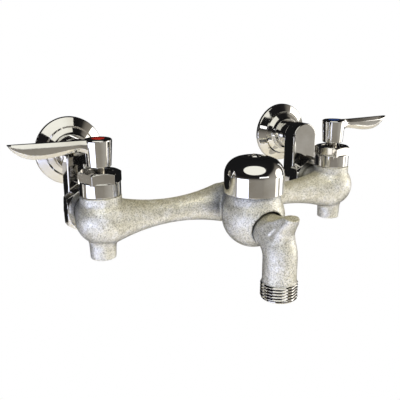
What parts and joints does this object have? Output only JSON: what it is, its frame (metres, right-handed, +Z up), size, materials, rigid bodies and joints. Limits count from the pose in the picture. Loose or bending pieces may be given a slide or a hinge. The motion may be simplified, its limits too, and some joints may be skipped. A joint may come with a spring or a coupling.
{
  "type": "wall-mounted service faucet",
  "caption": "Exposed-yoke wall faucet with lever valves, offset union shanks with flanges, vacuum breaker, service stops and a hose-thread spout with pail hook.",
  "frame": {"origin": "in the wall plane, midway between the two wall inlets", "axes": "+X to the right seen from the front, +Y into the wall, +Z up"},
  "size_m": [0.332, 0.1646, 0.1202],
  "materials": {
    "cast_chrome": "rough sand-cast brass with dull chrome plating",
    "polished_chrome": "polished brass with bright chrome plating",
    "brass": "machined",
    "ceramic": "lapped white ceramic",
    "rubber": "moulded",
    "float_plastic": "moulded",
    "hot_index": "moulded",
    "cold_index": "moulded",
    "stainless": "turned"
  },
  "bodies": {
    "yoke": {"yoke_body": "cast_chrome", "spout": "cast_chrome", "spout_washer": "rubber", "vent_bonnet": "brass", "vent_bonnet_gasket": "rubber", "dome_cap": "polished_chrome", "cap_screw": "polished_chrome", "left_bonnet_nut": "polished_chrome", "left_cartridge_housing": "brass", "left_housing_seal": "rubber", "left_seat_washer": "rubber", "left_fixed_disc": "ceramic", "left_stop_gland": "brass", "left_stop_seal": "rubber", "left_union_nut": "polished_chrome", "left_union_washer": "rubber", "right_bonnet_nut": "polished_chrome", "right_cartridge_housing": "brass", "right_housing_seal": "rubber", "right_seat_washer": "rubber", "right_fixed_disc": "ceramic", "right_stop_gland": "brass", "right_stop_seal": "rubber", "right_union_nut": "polished_chrome", "right_union_washer": "rubber"},
    "float": {"breaker_float": "float_plastic", "breaker_float_washer": "rubber"},
    "left_handle": {"left_lever": "polished_chrome", "left_lever_screw": "stainless", "left_index_button": "hot_index", "left_stem": "brass", "left_stem_seals": "rubber", "left_turning_disc": "ceramic"},
    "left_stop_seat": {"left_stop_washer": "rubber"},
    "left_stop_screw": {"left_stop_spindle": "brass"},
    "left_shank": {"left_offset_shank": "polished_chrome", "left_wall_flange": "polished_chrome"},
    "right_handle": {"right_lever": "polished_chrome", "right_lever_screw": "stainless", "right_index_button": "cold_index", "right_stem": "brass", "right_stem_seals": "rubber", "right_turning_disc": "ceramic"},
    "right_stop_seat": {"right_stop_washer": "rubber"},
    "right_stop_screw": {"right_stop_spindle": "brass"},
    "right_shank": {"right_offset_shank": "polished_chrome", "right_wall_flange": "polished_chrome"}
  },
  "joints": [
    {"name": "float_lift", "type": "slide", "parent": "yoke", "child": "float", "axis": [0, 0, 1], "range_m": [0, 0.003]},
    {"name": "left_handle_turn", "type": "hinge", "parent": "yoke", "child": "left_handle", "pos_m": [-0.106, -0.077, 0], "axis": [0, 0, 1], "range_deg": [0, 90]},
    {"name": "left_shank_swivel", "type": "hinge", "parent": "yoke", "child": "left_shank", "pos_m": [-0.106, -0.046, -0.037], "axis": [0, 1, 0], "range_deg": [-90, 90]},
    {"name": "left_stop_advance", "type": "slide", "parent": "yoke", "child": "left_stop_seat", "axis": [0, 0, 1], "range_m": [0, 0.0044]},
    {"name": "left_stop_turn", "type": "hinge", "parent": "left_stop_seat", "child": "left_stop_screw", "pos_m": [-0.106, -0.077, -0.055], "axis": [0, 0, 1], "range_deg": [0, 1056]},
    {"name": "right_handle_turn", "type": "hinge", "parent": "yoke", "child": "right_handle", "pos_m": [0.106, -0.077, 0], "axis": [0, 0, -1], "range_deg": [0, 90]},
    {"name": "right_shank_swivel", "type": "hinge", "parent": "yoke", "child": "right_shank", "pos_m": [0.106, -0.046, -0.037], "axis": [0, 1, 0], "range_deg": [-90, 90]},
    {"name": "right_stop_advance", "type": "slide", "parent": "yoke", "child": "right_stop_seat", "axis": [0, 0, 1], "range_m": [0, 0.0044]},
    {"name": "right_stop_turn", "type": "hinge", "parent": "right_stop_seat", "child": "right_stop_screw", "pos_m": [0.106, -0.077, -0.055], "axis": [0, 0, 1], "range_deg": [0, 1056]}
  ],
  "couplings": [
    {"joint": "left_stop_turn", "follows": "left_stop_advance", "rad_per_m": 4188.7},
    {"joint": "right_stop_turn", "follows": "right_stop_advance", "rad_per_m": 4188.7}
  ]
}
